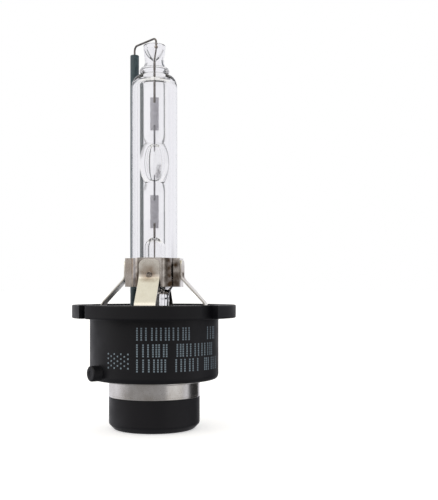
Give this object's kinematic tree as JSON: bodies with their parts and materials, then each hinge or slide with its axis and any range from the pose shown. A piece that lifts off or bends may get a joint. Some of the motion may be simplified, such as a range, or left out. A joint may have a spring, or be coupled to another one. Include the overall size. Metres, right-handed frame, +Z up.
{
  "type": "headlight bulb",
  "caption": "Gas-discharge headlight bulb: quartz burner in a glass sleeve, clamped by metal legs on a black plastic base with a ring contact and a centre pin.",
  "frame": {"origin": "centre of the flange's top face, which is the bulb's reference plane", "axes": "+Z up the glass along the bulb's axis; the front, with the printed side of the barrel, faces -Y"},
  "size_m": [0.0312, 0.0312, 0.0751],
  "materials": {
    "base_plastic": "fine moulded grain, dull",
    "nose_plastic": "fine moulded grain, dull",
    "leg_steel": "rolled strip",
    "clamp_steel": "bright rolled strip",
    "weld_metal": "melted and scorched",
    "sleeve_glass": "clear, flame polished",
    "burner_quartz": "clear, flame polished",
    "tungsten": "drawn, dull",
    "foil_metal": "etched foil",
    "lead_wire": "drawn, oxidised",
    "salts": "speckled crystal film",
    "tube_ceramic": "fired, satin",
    "ring_metal": "drawn and plated",
    "pin_metal": "turned and plated"
  },
  "bodies": {
    "root": {"base_body": "base_plastic", "leg_front": "leg_steel", "leg_left": "leg_steel", "leg_rear": "leg_steel", "leg_right": "leg_steel", "clamp_ring": "clamp_steel", "leg_welds": "weld_metal", "outer_sleeve": "sleeve_glass", "arc_tube": "burner_quartz", "upper_electrode": "tungsten", "lower_electrode": "tungsten", "upper_foil": "foil_metal", "lower_foil": "foil_metal", "upper_lead": "lead_wire", "lower_lead": "lead_wire", "halide_salts": "salts", "return_wire": "lead_wire", "wire_joint": "lead_wire", "ceramic_tube": "tube_ceramic", "contact_ring": "ring_metal", "tab_weld": "weld_metal", "socket_nose": "nose_plastic", "contact_pin": "pin_metal", "pin_weld": "weld_metal"}
  },
  "joints": []
}
